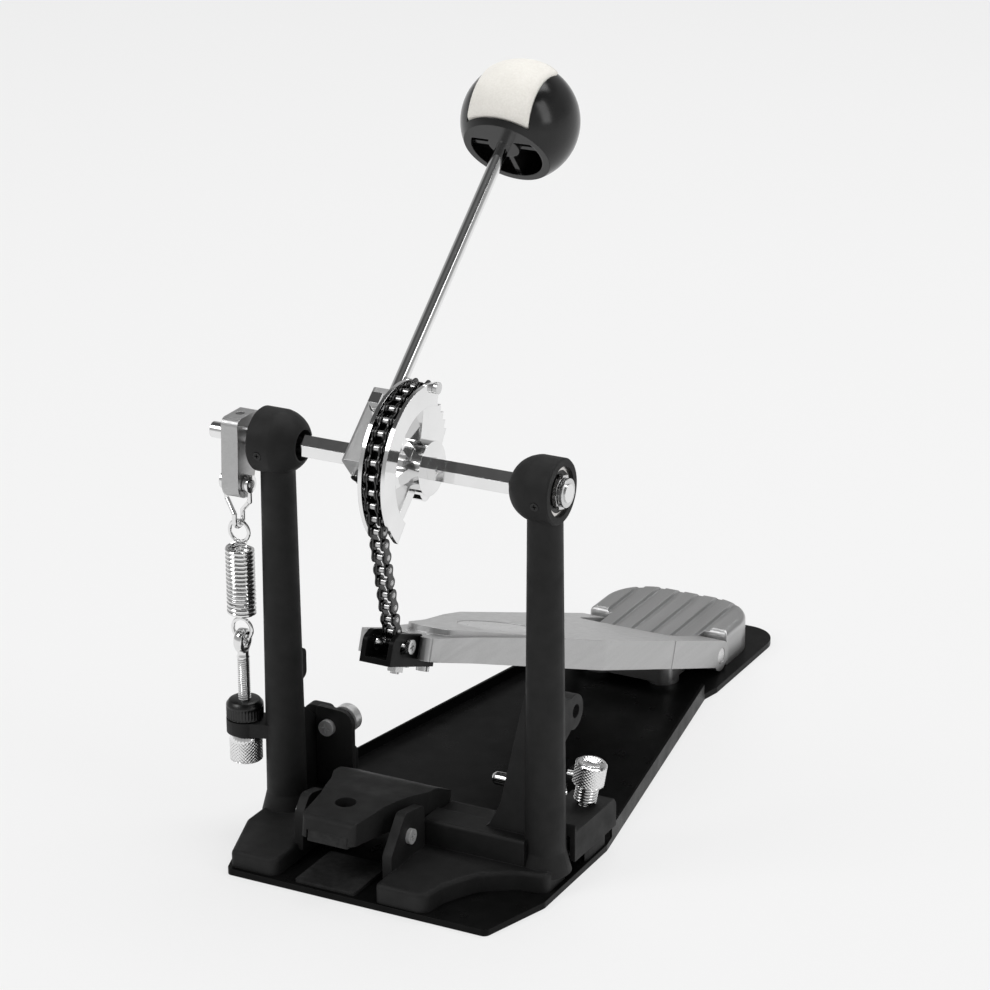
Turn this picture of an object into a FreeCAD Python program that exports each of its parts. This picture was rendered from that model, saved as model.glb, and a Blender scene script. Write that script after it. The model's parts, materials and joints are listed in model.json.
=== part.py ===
import FreeCAD, Part
import math
import os

# Single bass drum pedal, drawn at rest with the beater lying back.
# X to the right seen from the drum side, Y from the drum toward the heel, Z up.
# Origin on the underside of the base plate, below the middle of the axle.  Millimetres.

V = FreeCAD.Vector
X = V(1, 0, 0)
Y = V(0, 1, 0)
Z = V(0, 0, 1)

# driving dimensions
AXLE_Z = 185.5            # axle centre above the floor
POST_X = 65.5             # half spacing of the two uprights
FACE_X = 73.4             # outer face of the bearing heads
SEAT_X = 64.6             # shoulder of the bearing seats
HEX_AF = 9.5              # axle across flats
JOURNAL_R = 4.0           # axle ends
PLATE_T = 3.0             # base plate
LINE_X = 2.0              # plane of the chain, footboard and heel plate
BEATER_X = -15.0          # plane of the beater
REST = 50.0               # beater lies back this many degrees
ROD_Y = -9.0              # rod centre in front of the axle, beater upright
HEAD_Z = 177.7            # axle to middle of the beater head
HEAD_R = 27.0
CHAIN_R = 34.5            # chain pitch line on the cam
PITCH = 6.35
CHAIN_TILT = 12.0         # hanging strand off the vertical
WRAPPED = 11              # links lying on the cam at rest
FIXED = 5                 # of these, links that never leave the cam
HANGING = 11
SPRING_X = -84.0
SPRING_Y = -4.0
HINGE_Y = 240.0           # footboard hinge
HINGE_Z = 11.5
BOARD_TILT = 20.8
CLAMP_X = -15.4           # middle of the hoop clamp
SHAFT_Y = 12.0            # hoop clamp shaft
SHAFT_Z = 16.0
PIN_Y = -25.0             # side screws of the hoop clamp
PIN_Z = 22.7
KNOB_AT = V(66.5, 36.0, 24.0)
KNOB_LEAN = 10.0
KEY_Y = 54.0              # drum key held behind the right foot
KEY_Z = 17.6

os.makedirs("parts", exist_ok=True)


def box(x0, y0, z0, x1, y1, z1):
    return Part.makeBox(x1 - x0, y1 - y0, z1 - z0, V(x0, y0, z0))


def rod(a, b, r):
    return Part.makeCylinder(r, (b - a).Length, a, b - a)


def rod_x(x0, x1, y, z, r):
    return rod(V(x0, y, z), V(x1, y, z), r)


def rod_z(x, y, z0, z1, r):
    return rod(V(x, y, z0), V(x, y, z1), r)


def tube(a, b, r_out, r_in):
    d = b - a
    d.normalize()
    return rod(a, b, r_out).cut(rod(a - d, b + d, r_in))


def cone_z(x, y, z0, r0, z1, r1):
    return Part.makeCone(r0, r1, z1 - z0, V(x, y, z0), Z)


def hexagon(a, b, af, turn=0.0):
    """Hexagonal bar from a to b."""
    axis = b - a
    base = FreeCAD.Rotation(Z, axis)
    pts = []
    for k in range(7):
        t = math.radians(60 * k + turn)
        r = af / math.sqrt(3.0)
        pts.append(a + base.multVec(V(r * math.cos(t), r * math.sin(t), 0)))
    return Part.Face(Part.makePolygon(pts)).extrude(axis)


def fuse(shapes):
    out = shapes[0].multiFuse(shapes[1:]) if len(shapes) > 1 else shapes[0]
    return out.removeSplitter()


def outline(points):
    """Closed wire in the XY plane through (x, y, corner radius) points."""
    n = len(points)
    edges = []
    ends = []
    for i in range(n):
        p = V(points[i][0], points[i][1], 0)
        before = V(points[i - 1][0], points[i - 1][1], 0) - p
        after = V(points[(i + 1) % n][0], points[(i + 1) % n][1], 0) - p
        r = points[i][2]
        if r <= 0:
            ends.append((p, None, p))
            continue
        before.normalize()
        after.normalize()
        half = before.getAngle(after) / 2
        reach = r / math.tan(half)
        mid = before + after
        mid.normalize()
        top = p + mid * (r / math.sin(half) - r)
        ends.append((p + before * reach, top, p + after * reach))
    for i in range(n):
        start, top, stop = ends[i]
        if top is not None:
            edges.append(Part.Arc(start, top, stop).toShape())
        following = ends[(i + 1) % n][0]
        if (following - stop).Length > 1e-6:
            edges.append(Part.makeLine(stop, following))
    return Part.Wire(edges)


def slab(points, z0, z1):
    """Prism standing on an XY outline."""
    face = Part.Face(outline(points))
    face.translate(V(0, 0, z0))
    return face.extrude(V(0, 0, z1 - z0))


def profile_x(points, x0, x1):
    """Prism along X from (y, z, corner radius) points."""
    face = Part.Face(outline(points))
    face.rotate(V(0, 0, 0), V(1, 1, 1), 120)
    face.translate(V(x0, 0, 0))
    return face.extrude(V(x1 - x0, 0, 0))


def profile_y(points, y0, y1):
    """Prism along Y from (x, z, corner radius) points."""
    face = Part.Face(outline(points))
    face.rotate(V(0, 0, 0), X, 90)
    face.translate(V(0, y1, 0))
    return face.extrude(V(0, y0 - y1, 0))


def strap(a, b, ra, rb, x0, x1):
    """Link-shaped bar in a YZ plane round the points a and b, both (y, z)."""
    span = math.hypot(b[0] - a[0], b[1] - a[1])
    along = math.atan2(b[1] - a[1], b[0] - a[0])
    off = math.acos((ra - rb) / span)
    quad = []
    for centre, r, side in ((a, ra, 1), (b, rb, 1), (b, rb, -1), (a, ra, -1)):
        t = along + side * off
        quad.append((centre[0] + r * math.cos(t), centre[1] + r * math.sin(t), 0))
    return fuse([rod_x(x0, x1, a[0], a[1], ra), rod_x(x0, x1, b[0], b[1], rb),
                 profile_x(quad, x0, x1)])


def round_top(shape, z, r):
    """Round the edges lying in the plane at height z."""
    rim = [e for e in shape.Edges if abs(e.BoundBox.ZMin - z) < 1e-4 and abs(e.BoundBox.ZMax - z) < 1e-4]
    return shape.makeFillet(r, rim)


def turned(shape, degrees, y=0.0, z=AXLE_Z):
    """Copy turned about an axis along X, positive carrying Y toward Z."""
    out = shape.copy()
    out.rotate(V(0, y, z), X, degrees)
    return out


def mirrored(shape):
    return shape.mirror(V(0, 0, 0), X)


def cross_recess(at, axis, size, depth):
    """Cross-shaped cut for a screwdriver, made at a point looking down an axis."""
    arm = fuse([box(-size, -size * 0.22, -depth, size, size * 0.22, depth),
                box(-size * 0.22, -size, -depth, size * 0.22, size, depth)])
    arm.Placement = FreeCAD.Placement(at, FreeCAD.Rotation(Z, axis))
    return arm


def flat_screw(x, y, z0, length, r, head_r, head_h):
    """Countersunk screw entering from below, its head level with z0."""
    body = fuse([cone_z(x, y, z0, head_r, z0 + head_h, r), rod_z(x, y, z0 + head_h, z0 + length, r)])
    return body.cut(cross_recess(V(x, y, z0), V(0, 0, -1), head_r * 0.5, 1.0))


def save(name, shapes):
    body = shapes[0] if len(shapes) == 1 else Part.Compound(shapes)
    body.exportStep("parts/" + name + ".step")


# ---------------------------------------------------------------- base plate
foot_screws = [(-66, -22), (-64, 30), (-50, -40), (66, -5), (24, -42), (52, 26)]
heel_screws = [(LINE_X - 17, 219), (LINE_X + 17, 219), (LINE_X - 22, 272), (LINE_X + 22, 272)]
plate = slab([(-64, -55, 3), (65, -55, 3), (75.4, -20, 4), (75, 42, 6), (45, 212, 3), (47, 222, 3),
              (47, 300, 16), (-43, 300, 16), (-43, 222, 3), (-45, 212, 3), (-75, 42, 6), (-75, -22, 4)],
             0, PLATE_T)
for side in (1, -1):
    lip = slab([(side * 72.8, 50, 0), (side * 75.0, 50, 0), (side * 46.1, 211, 0), (side * 43.6, 211, 0)],
               PLATE_T - 0.5, 8.2)
    plate = fuse([plate, lip.common(slab([(-75, 42, 0), (-45, 212, 0), (45, 212, 0), (75, 42, 0)], 0, 9))])
for x, y in foot_screws + heel_screws:
    plate = plate.cut(fuse([cone_z(x, y, -0.01, 4.75, 2.4, 2.6), rod_z(x, y, 0, 4, 2.6)]))
save("base_plate", [plate])
save("foot_screws", [flat_screw(x, y, 0.3, 9.5, 2.45, 4.2, 2.0) for x, y in foot_screws])
save("heel_screws", [flat_screw(x, y, 0.3, 8.0, 2.45, 4.2, 2.0) for x, y in heel_screws])

# grip sheet on the plate, under the hoop
save("hoop_pad_lower", [slab([(CLAMP_X - 15, -53, 1), (CLAMP_X + 15, -53, 1),
                              (CLAMP_X + 15, -22, 1), (CLAMP_X - 15, -22, 1)], PLATE_T, PLATE_T + 1.6)])


# ---------------------------------------------------------------- uprights
def bearing_head():
    """Barrel on the right post, flat outside and domed inside, bored for bearing and axle."""
    ring = [(52.2, 0.0), (52.2, 7.7), (54.6, 10.8), (58.2, 13.2), (62.6, 14.5), (FACE_X - 0.8, 14.5),
            (FACE_X, 13.9), (FACE_X, 0.0)]
    pts = [V(x, 0, AXLE_Z + r) for x, r in ring]
    dome = Part.BSplineCurve()
    dome.interpolate(pts[1:5])
    edges = [Part.makeLine(pts[0], pts[1]), dome.toShape(), Part.makeLine(pts[4], pts[5]),
             Part.makeLine(pts[5], pts[6]), Part.makeLine(pts[6], pts[7]), Part.makeLine(pts[7], pts[0])]
    return Part.Face(Part.Wire(edges)).revolve(V(0, 0, AXLE_Z), X, 360)


def bore_head(shape):
    shape = shape.cut(rod_x(50, 80, 0, AXLE_Z, 6.9))
    shape = shape.cut(rod_x(SEAT_X, 80, 0, AXLE_Z, 11.0))
    return shape.cut(set_screw_axis(2.05, 9.0, 17.0))


GRUB_WAY = V(0, -math.cos(math.radians(12)), -math.sin(math.radians(12)))


def set_screw_axis(r, inner, outer):
    at = V(67.5, 0, AXLE_Z)
    return rod(at + GRUB_WAY * inner, at + GRUB_WAY * outer, r)


post = cone_z(POST_X, 0, 8, 9.2, AXLE_Z - 8, 7.7)
skirt = cone_z(POST_X, 0, 8, 11.6, 18, 9.1)
head = bearing_head()

right_foot = slab([(10, -54, 3), (35, -54, 5), (37, -41, 8), (45, -25, 14), (60, -15, 12), (73, -13, 3), (73, 20, 5),
                   (74, 26, 3), (74, 45, 5), (57, 47, 5), (44, 24, 4), (10, 24, 3)], PLATE_T, 12)
right_foot = round_top(right_foot, 12, 2.0)
# beam from the post to the hoop clamp, with the ear beside the jaw
beam = profile_x([(-10, 8, 0), (-10, 24, 1.5), (4.3, 24, 1.5), (4.3, 21.5, 0), (19, 21.5, 3), (19, 8, 0)], 10.2, 60)
inner_web = profile_y([(59, 98, 0), (63, 98, 0), (63, 10, 0), (27, 10, 0), (27, 22, 0), (39, 24, 6), (45, 36, 8)],
                      -3.5, 3.5)
right_cheek = profile_x([(-41, 8, 0), (-41, 19, 3), (-28, 34.5, 4), (-11, 31.5, 3), (-11, 8, 0)], 7.0, 11.5)
right_ear = fuse([profile_x([(4, 60, 0), (20, 69, 0), (26, 74, 0), (20, 82, 0), (5, 86, 0)], 63, 69),
                  rod_x(63, 69, 21.5, 75, 8.0)])
knob_axis = V(math.sin(math.radians(KNOB_LEAN)), 0, math.cos(math.radians(KNOB_LEAN)))
boss = profile_x([(22, 10, 0), (49, 10, 0), (49, 21, 4), (46, 25, 4), (26, 25, 4), (8, 30, 4), (8, 10, 0)], 55.4, 76)
boss = boss.cut(box(40, 9, 24.0, 90, 60, 60))
key_clip = slab([(32, 40, 0), (45, 40, 0), (45, 59, 3), (32, 59, 3)], PLATE_T, 23)
key_clip = key_clip.fuse(box(32, 41, PLATE_T, 60, 50, 9))
key_clip = key_clip.cut(rod_x(30, 50, KEY_Y, KEY_Z, 3.16)).cut(box(30, KEY_Y - 1.2, KEY_Z, 50, KEY_Y + 1.2, 30))
right = fuse([post, skirt, head, right_foot, beam, right_cheek, inner_web, right_ear, boss, key_clip])
right = bore_head(right)
right = right.cut(rod_x(60, 72, 22.5, 75, 3.2))
right = right.cut(rod(KNOB_AT - knob_axis * 20, KNOB_AT + knob_axis * 4, 3.3))
# cavity for the crank of the hoop clamp, and the shaft bore
right = right.cut(profile_x([(SHAFT_Y - 8, 3, 0), (46, 3, 0), (46, 21.7, 0), (SHAFT_Y - 8, 21.7, 0)], 57.8, 73.4))
right = right.cut(rod_x(5, 62, SHAFT_Y, SHAFT_Z, 4.08))
right = right.cut(rod_x(6, 13, PIN_Y, PIN_Z, 2.55))
for x, y in foot_screws[3:]:
    right = right.cut(rod_z(x, y, 2, 10, 2.5))
save("right_upright", [right])

left_post = mirrored(fuse([post, skirt]))
left_head = mirrored(bearing_head())
left_foot = slab([(-63, -53, 3), (-73.5, -22, 4), (-73, 44, 5), (-52, 46, 5), (-46, 26, 4), (-41.5, 22, 2),
                  (-40, -10, 2), (-40, -53, 4)], PLATE_T, 11)
left_foot = round_top(left_foot, 11, 2.0)
# the foot rises inwards to the side of the jaw
left_ramp = profile_y([(-72, 8, 0), (-72, 9.5, 2), (-56, 13.5, 8), (-42, 18, 0), (-42, 8, 0)], -48, 4)
left_ramp = left_ramp.common(profile_x([(-48, 8, 0), (-48, 10.4, 0), (-26, 19, 8), (4, 20, 0), (4, 8, 0)], -72, -42))
left_cheek = profile_x([(-33, 8, 0), (-32, 25, 5), (-26, 32.5, 5), (-12, 29.5, 4), (-11, 8, 0)], -42.3, -38.0)
lug = fuse([rod_z(SPRING_X, SPRING_Y, 45.0, 51.5, 8.6),
            slab([(SPRING_X - 2, SPRING_Y - 8.4, 0), (-66, -7, 0), (-66, 7, 0), (SPRING_X + 4, SPRING_Y + 7.6, 0)],
                 45.0, 51.5)])
rear_lug = profile_x([(4, 66, 0), (14, 70, 3), (14, 82, 3), (4, 88, 0)], -69, -62)
clamp_ear_left = profile_x([(-8, 4, 0), (22, 4, 0), (22, 20, 6), (12, 25, 5), (-8, 18, 5)], -47, -41)
web_left = profile_y([(-57.5, 49, 3), (-71, 49, 4), (-71, 8, 0), (-46, 8, 0), (-46, 30, 3), (-57.5, 34, 3)], 26, 31)
web_tie = profile_x([(4, 8, 0), (28, 8, 0), (28, 42, 6), (4, 62, 0)], -71, -64)
left = fuse([left_post, left_head, left_foot, left_ramp, left_cheek, lug, rear_lug, clamp_ear_left, web_left, web_tie])
left = left.cut(mirrored(fuse([rod_x(50, 80, 0, AXLE_Z, 6.9), rod_x(SEAT_X, 80, 0, AXLE_Z, 11.0),
                               set_screw_axis(2.05, 9.0, 17.0)])))
left = left.cut(rod_z(SPRING_X, SPRING_Y, 40, 60, 3.3))
left = left.cut(rod_x(-48, -30, SHAFT_Y, SHAFT_Z, 4.08))
left = left.cut(rod_x(-43, -37, PIN_Y, PIN_Z, 2.55))
left = left.cut(rod(V(-57, 20, 41), V(-57, 35, 41), 1.9))
for x, y in foot_screws[:3]:
    left = left.cut(rod_z(x, y, 2, 10, 2.5))
save("left_upright", [left])

grub = set_screw_axis(1.95, 11.3, 14.6)
grub = grub.cut(cross_recess(V(67.5, 0, AXLE_Z) + GRUB_WAY * 14.6, GRUB_WAY, 1.1, 0.9))
save("bearing_grub_screws", [grub, mirrored(grub)])

side_plate = profile_y([(-44.5, 12, 2), (-44.5, 48.5, 6), (-50, 50, 3), (-63.3, 50.5, 2), (-63.3, 12, 2)], 23.4, 25.9)
side_plate = side_plate.cut(rod(V(-57, 20, 41), V(-57, 30, 41), 2.2))
save("side_plate", [side_plate])
bracket_screw = fuse([rod(V(-57, 23, 41), V(-57, 30.8, 41), 1.85), rod(V(-57, 20.8, 41), V(-57, 23.3, 41), 3.8)])
bracket_screw = bracket_screw.cut(cross_recess(V(-57, 20.8, 41), V(0, -1, 0), 2.2, 1.2))
cap = rod(V(-50.2, 26.2, 44.5), V(-50.2, 30.9, 44.5), 6.6).cut(box(-60, 20, 30, -40, 40, 40.5))
save("side_plate_screw", [bracket_screw, cap])

side_screws = []
for x, way in ((11.5, 1), (-42.3, -1)):
    shank_in = x - way * 4.6
    screw = fuse([rod(V(shank_in, PIN_Y, PIN_Z), V(x, PIN_Y, PIN_Z), 2.5),
                  rod(V(x, PIN_Y, PIN_Z), V(x + way * 1.9, PIN_Y, PIN_Z), 3.5)])
    side_screws.append(screw.cut(cross_recess(V(x + way * 1.9, PIN_Y, PIN_Z), V(way, 0, 0), 2.2, 1.2)))
save("clamp_side_screws", side_screws)

# ---------------------------------------------------------------- bearings
outer_ring = tube(V(65, 0, AXLE_Z), V(72, 0, AXLE_Z), 10.97, 9.2)
inner_ring = tube(V(65, 0, AXLE_Z), V(72, 0, AXLE_Z), 6.0, JOURNAL_R)
shield = tube(V(71.2, 0, AXLE_Z), V(71.7, 0, AXLE_Z), 9.2, 6.35)
balls = []
for k in range(7):
    t = 2 * math.pi * k / 7
    balls.append(Part.makeSphere(1.54, V(68.2, 7.6 * math.cos(t), AXLE_Z + 7.6 * math.sin(t))))
save("bearing_outer_rings", [outer_ring, mirrored(outer_ring)])
save("bearing_inner_rings", [inner_ring, mirrored(inner_ring)])
save("bearing_shields", [shield, mirrored(shield)])
save("bearing_balls", balls + [mirrored(b) for b in balls])

# ---------------------------------------------------------------- axle
axle = fuse([hexagon(V(-50.8, 0, AXLE_Z), V(50.8, 0, AXLE_Z), HEX_AF, -REST),
             rod_x(-91, 76.9, 0, AXLE_Z, JOURNAL_R), rod_x(-98, -91, 0, AXLE_Z, JOURNAL_R - 0.3)])
save("axle", [axle])
# star washer and collar on the right end of the axle
star = hexagon(V(72.4, 0, AXLE_Z), V(74.2, 0, AXLE_Z), 14.6, 15)
for k in range(6):
    t = math.radians(60 * k + 45)
    star = star.cut(rod_x(72, 75, 8.6 * math.cos(t), AXLE_Z + 8.6 * math.sin(t), 1.9))
star = star.cut(rod_x(72, 75, 0, AXLE_Z, 4.02))
collar = tube(V(74.6, 0, AXLE_Z), V(76.3, 0, AXLE_Z), 6.3, 4.02)
save("axle_clip", [star, collar])


# ---------------------------------------------------------------- cam
def on_cam(phi, r):
    """(y, z) at an angle measured from straight up toward the drum."""
    t = math.radians(phi)
    return (-r * math.sin(t), AXLE_Z + r * math.cos(t))


def sector(r_out, r_in, phi0, phi1, x0, x1):
    ring = tube(V(x0, 0, AXLE_Z), V(x1, 0, AXLE_Z), r_out, r_in)
    fan = [(0, AXLE_Z, 0)]
    steps = 8
    for k in range(steps + 1):
        fan.append(on_cam(phi0 + (phi1 - phi0) * k / steps, r_out * 1.3) + (0,))
    return ring.common(profile_x(fan, x0, x1))


link_step = 2 * math.degrees(math.asin(PITCH / 2 / CHAIN_R))
phi_tangent = 90 + CHAIN_TILT
phi_anchor = phi_tangent - WRAPPED * link_step
rim0 = phi_anchor - 8
rim1 = 136.0

hub = rod_x(LINE_X - 9.5, LINE_X + 9.5, 0, AXLE_Z, 12.0)
cam_parts = [hub]
for x0 in (LINE_X - 6.4, LINE_X + 4.6):
    cam_parts.append(sector(36.5, 28.6, rim0, rim1, x0, x0 + 1.8))
cam_parts.append(sector(29.4, 26.6, rim0, rim1, LINE_X - 6.4, LINE_X + 6.4))
for phi in (-10, 45, 90, 131):
    a = on_cam(phi, 7)
    b = on_cam(phi, 26.3)
    cam_parts.append(strap(a, b, 3.2, 2.4, LINE_X - 4.5, LINE_X + 4.5))
wing = [on_cam(rim0 + 2, 29) + (0,)]
for k in range(5):
    wing.append(on_cam(-32 - 9 * k, 30.5 - 1.2 * k) + (0,))
    wing.append(on_cam(-36.5 - 9 * k, 27.6 - 1.2 * k) + (0,))
wing += [on_cam(-80, 20) + (0,), on_cam(-100, 8) + (0,), on_cam(-12, 8) + (0,)]
cam_parts.append(profile_x(wing, LINE_X - 3.5, LINE_X + 3.5))
cam_parts.append(strap((2, AXLE_Z - 6), (4.4, AXLE_Z - 12.6), 6.5, 4.6, LINE_X - 4, LINE_X + 4))
cam = fuse(cam_parts)
cam = cam.cut(hexagon(V(-20, 0, AXLE_Z), V(20, 0, AXLE_Z), HEX_AF + 0.06, -REST))
anchor = on_cam(phi_anchor, CHAIN_R)
cam = cam.cut(rod_x(LINE_X - 8, LINE_X + 8, anchor[0], anchor[1], 1.2))
cam = cam.cut(rod(V(LINE_X, 5, AXLE_Z - 17.5), V(LINE_X, 2, AXLE_Z - 3), 2.05))
cam = cam.cut(rod(V(LINE_X, 5, AXLE_Z - 17.5), V(LINE_X, 7, AXLE_Z - 27), 2.05))
save("cam", [cam])
cam_grub = rod(V(LINE_X, 4.45, AXLE_Z - 14.9), V(LINE_X, 2.5, AXLE_Z - 5.5), 1.98)
save("cam_grub_screw", [cam_grub])
save("cam_lining", [sector(31.1, 29.4, rim0 + 6, rim1 - 4, LINE_X - 3.4, LINE_X + 3.4)])

# ---------------------------------------------------------------- chain
pins = [on_cam(phi_anchor + k * link_step, CHAIN_R) for k in range(WRAPPED + 1)]
drop = math.radians(CHAIN_TILT)
for k in range(1, HANGING + 1):
    pins.append((pins[WRAPPED][0] + k * PITCH * math.sin(drop), pins[WRAPPED][1] - k * PITCH * math.cos(drop)))


def link_plate(a, b, x0, x1, hole):
    """Waisted plate round two pins."""
    full = strap(a, b, 2.85, 2.849, x0, x1)
    mid = ((a[0] + b[0]) / 2, (a[1] + b[1]) / 2)
    nx = (b[1] - a[1]) / PITCH
    ny = -(b[0] - a[0]) / PITCH
    for s in (1, -1):
        full = full.cut(rod_x(x0 - 1, x1 + 1, mid[0] + s * nx * 4.6, mid[1] + s * ny * 4.6, 2.5))
    for p in (a, b):
        full = full.cut(rod_x(x0 - 1, x1 + 1, p[0], p[1], hole))
    return full


def inner_link(k):
    a, b = pins[k], pins[k + 1]
    solids = [link_plate(a, b, LINE_X - 2.4, LINE_X - 1.65, 1.2), link_plate(a, b, LINE_X + 1.65, LINE_X + 2.4, 1.2)]
    for p in (a, b):
        solids.append(tube(V(LINE_X - 1.65, p[0], p[1]), V(LINE_X + 1.65, p[0], p[1]), 1.65, 1.2))
    return fuse(solids)


def outer_link(k, first_pin=True):
    a, b = pins[k], pins[k + 1]
    solids = [link_plate(a, b, LINE_X - 3.45, LINE_X - 2.7, 1.15 if first_pin else 1.2),
              link_plate(a, b, LINE_X + 2.7, LINE_X + 3.45, 1.15 if first_pin else 1.2)]
    for p in ((a, b) if first_pin else (b,)):
        solids.append(rod_x(LINE_X - 3.8, LINE_X + 3.8, p[0], p[1], 1.15))
    return fuse(solids)


def chain_run(k0, k1):
    return [outer_link(k, k > 0) if k % 2 == 0 else inner_link(k) for k in range(k0, k1)]


save("chain_on_cam", chain_run(0, FIXED))
for k in range(FIXED, WRAPPED):
    save("chain_link_%d" % (k - FIXED + 1), chain_run(k, k + 1))
save("chain_strand", chain_run(WRAPPED, WRAPPED + HANGING))
anchor_screw = fuse([rod_x(LINE_X - 7.8, LINE_X + 6.6, anchor[0], anchor[1], 1.15),
                     rod_x(LINE_X + 6.5, LINE_X + 8.6, anchor[0], anchor[1], 2.6),
                     hexagon(V(LINE_X - 8.2, anchor[0], anchor[1]), V(LINE_X - 6.5, anchor[0], anchor[1]), 4.6)])
save("chain_anchor_screw", [anchor_screw])

toe = pins[-1]
toe_bolt = fuse([rod_x(LINE_X - 4.1, LINE_X + 4.1, toe[0], toe[1], 1.15),
                 rod_x(LINE_X - 9.0, LINE_X - 4.0, toe[0], toe[1], 2.0),
                 rod_x(LINE_X + 4.0, LINE_X + 7.3, toe[0], toe[1], 2.0),
                 rod_x(LINE_X + 7.3, LINE_X + 9.2, toe[0], toe[1], 3.2)])
toe_bolt = toe_bolt.cut(cross_recess(V(LINE_X + 9.2, toe[0], toe[1]), X, 1.8, 1.0))
save("toe_bolt", [toe_bolt])
toe_nut = rod(V(LINE_X - 9.0, toe[0], toe[1]), V(LINE_X - 8.3, toe[0], toe[1]), 3.2)
save("toe_bolt_nut", [toe_nut.cut(rod_x(LINE_X - 20, LINE_X, toe[0], toe[1], 2.02))])

# ---------------------------------------------------------------- beater, drawn upright then laid back
hub_block = slab([(BEATER_X - 8, -15.5, 2), (BEATER_X + 7.2, -15.5, 2), (BEATER_X + 7.2, 8.8, 5),
                  (BEATER_X - 8, 8.8, 5)], AXLE_Z - 11, AXLE_Z + 26)
hub_block = hub_block.cut(profile_x([(-4.0, AXLE_Z + 9, 2), (12, AXLE_Z + 9, 0), (12, AXLE_Z + 30, 0),
                                     (-4.0, AXLE_Z + 30, 0)], -30, 0))
hub_block = hub_block.cut(hexagon(V(-30, 0, AXLE_Z), V(0, 0, AXLE_Z), HEX_AF + 0.06))
hub_block = hub_block.cut(rod_z(BEATER_X, ROD_Y, AXLE_Z - 20, AXLE_Z + 30, 3.2))
hub_block = hub_block.cut(rod(V(BEATER_X, -20, AXLE_Z + 17), V(BEATER_X, ROD_Y, AXLE_Z + 17), 2.55))
hub_block = hub_block.cut(rod(V(BEATER_X, 0, AXLE_Z), V(BEATER_X, 12, AXLE_Z), 2.05))
save("beater_hub", [turned(hub_block, -REST)])
key_screw = fuse([rod(V(BEATER_X, -20.5, AXLE_Z + 17), V(BEATER_X, ROD_Y - 3.12, AXLE_Z + 17), 2.5),
                  rod(V(BEATER_X, -17.6, AXLE_Z + 17), V(BEATER_X, -15.6, AXLE_Z + 17), 4.6),
                  box(BEATER_X - 2.6, -23.0, AXLE_Z + 14.4, BEATER_X + 2.6, -17.5, AXLE_Z + 19.6)])
save("beater_key_screw", [turned(key_screw, -REST)])
hub_grub = rod(V(BEATER_X, 4.8, AXLE_Z), V(BEATER_X, 8.4, AXLE_Z), 1.98)
save("hub_grub_screw", [turned(hub_grub, -REST)])

beater_rod = rod_z(BEATER_X, ROD_Y, AXLE_Z - 16, AXLE_Z + HEAD_Z + 12, 3.12)
save("beater_rod", [turned(beater_rod, -REST)])

centre = V(BEATER_X, -4.0, AXLE_Z + HEAD_Z)
ball = Part.makeSphere(HEAD_R, centre)
cz = centre.z
ball = ball.common(box(-60, -60, cz - 17.5, 60, 60, cz + 40))
cup = Part.makeSphere(HEAD_R - 2.6, centre).common(box(-60, -12.8, cz - 30, 60, 60, cz - 1))
ribs = fuse([rod_z(BEATER_X, ROD_Y + 0.5, cz - 17.5, cz, 7.4), box(BEATER_X - 1.2, ROD_Y, cz - 16, BEATER_X + 1.2, 40, cz),
             box(BEATER_X - 40, ROD_Y + 1, cz - 15.5, BEATER_X + 40, ROD_Y + 3.4, cz)])
shell = ball.cut(cup.cut(ribs))
slot = box(BEATER_X - 15.4, -60, cz - 14.8, BEATER_X + 15.4, -16.2, cz + 60)
shell = shell.cut(slot)
shell = shell.cut(rod_z(BEATER_X, ROD_Y, cz - 40, cz + 12.5, 3.14))
save("beater_shell", [turned(shell, -REST)])
felt = Part.makeSphere(HEAD_R + 1.4, centre).common(box(BEATER_X - 15.2, -60, cz - 14.6, BEATER_X + 15.2, -16.4, cz + 40))
save("beater_felt", [turned(felt, -REST)])

# ---------------------------------------------------------------- spring lever, stirrup and spring
pivot = (SPRING_Y, AXLE_Z - 21.0)
lever = strap((0, AXLE_Z), pivot, 9.7, 6.6, SPRING_X - 4.2, SPRING_X + 4.2)
lever = fuse([lever, profile_x([(-9.7, AXLE_Z - 2, 0), (-9.7, AXLE_Z + 9.7, 3.5), (9.7, AXLE_Z + 9.7, 3.5),
                               (9.7, AXLE_Z - 2, 0)], SPRING_X - 4.2, SPRING_X + 4.2)])
lever = lever.cut(rod_x(SPRING_X - 8, SPRING_X + 8, 0, AXLE_Z, JOURNAL_R + 0.02))
lever = lever.cut(rod_x(SPRING_X - 8, SPRING_X + 8, pivot[0], pivot[1], 2.0))
lever = lever.cut(rod_z(SPRING_X, 0, AXLE_Z, AXLE_Z + 20, 2.05))
save("spring_lever", [lever])
lever_screw = rod_z(SPRING_X, 0, AXLE_Z + 4.1, AXLE_Z + 8.2, 1.98)
lever_screw = lever_screw.cut(cross_recess(V(SPRING_X, 0, AXLE_Z + 8.2), Z, 1.1, 0.9))
save("lever_set_screw", [lever_screw])
pivot_pin = rod_x(SPRING_X - 7.6, SPRING_X + 7.6, pivot[0], pivot[1], 1.98)
save("stirrup_pin", [pivot_pin])

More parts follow.
